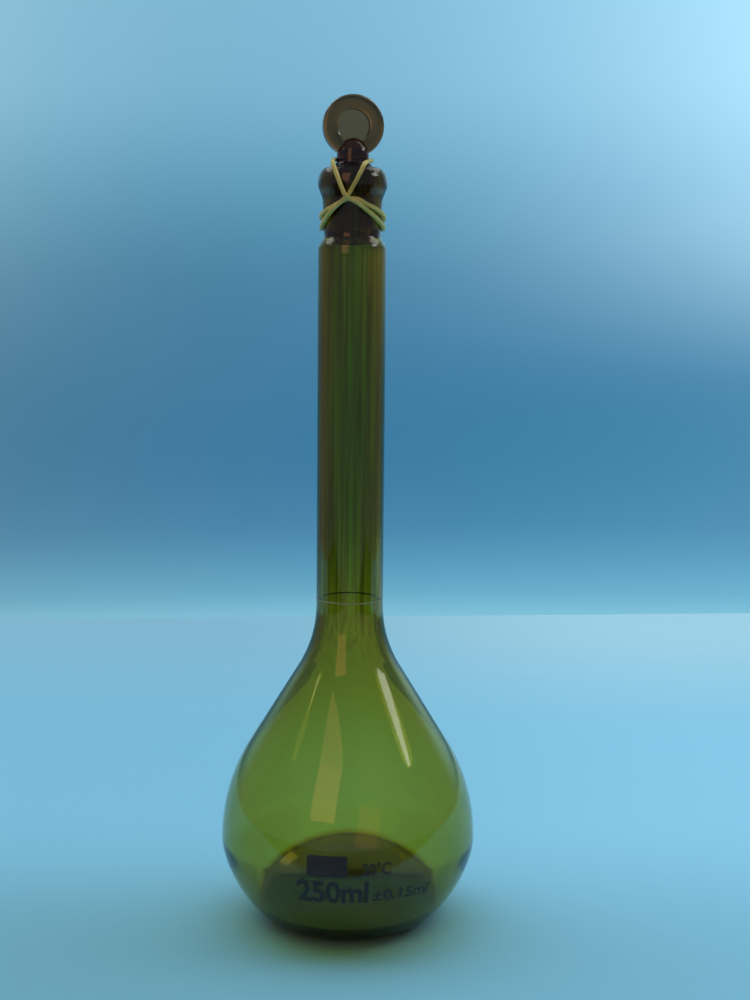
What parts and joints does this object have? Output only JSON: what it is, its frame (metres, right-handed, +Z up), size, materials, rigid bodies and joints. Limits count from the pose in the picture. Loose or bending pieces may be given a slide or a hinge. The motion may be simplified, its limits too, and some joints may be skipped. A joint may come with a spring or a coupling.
{
  "type": "volumetric flask",
  "caption": "Amber glass volumetric flask: pear-shaped bulb, long neck with a graduation ring, and a flat-headed ground stopper tied down by a rubber band.",
  "frame": {"origin": "centre of the base, on the surface the flask stands on", "axes": "+Z up along the flask's axis, -Y towards the front, where the marks are"},
  "size_m": [0.0785, 0.0785, 0.2523],
  "materials": {
    "amber_glass": "flame-polished amber glass, clear and glossy",
    "dark_amber_glass": "thick amber glass, glossy outside, ground inside",
    "stopper_glass": "pressed amber glass, glossy head, ground plug",
    "pale_enamel": "fired enamel line",
    "black_enamel": "fired matt black enamel",
    "latex_rubber": "smooth natural latex, slightly translucent"
  },
  "bodies": {
    "flask": {"bulb": "amber_glass", "neck": "amber_glass", "ground_mouth": "dark_amber_glass", "graduation_ring": "pale_enamel", "writing_patch": "black_enamel"},
    "band": {"rubber_band": "latex_rubber"},
    "stopper": {"stopper": "stopper_glass"}
  },
  "joints": [
    {"name": "stopper_lift", "type": "slide", "parent": "flask", "child": "band", "axis": [0, 0, 1], "range_m": [0, 0.03], "stiffness_N_per_m": 60, "springref_m": -0.01, "deforming": ["rubber_band"]},
    {"name": "stopper_turn", "type": "hinge", "parent": "band", "child": "stopper", "pos_m": [0, 0, 0.2309], "axis": [0, 0, 1], "continuous": true}
  ]
}
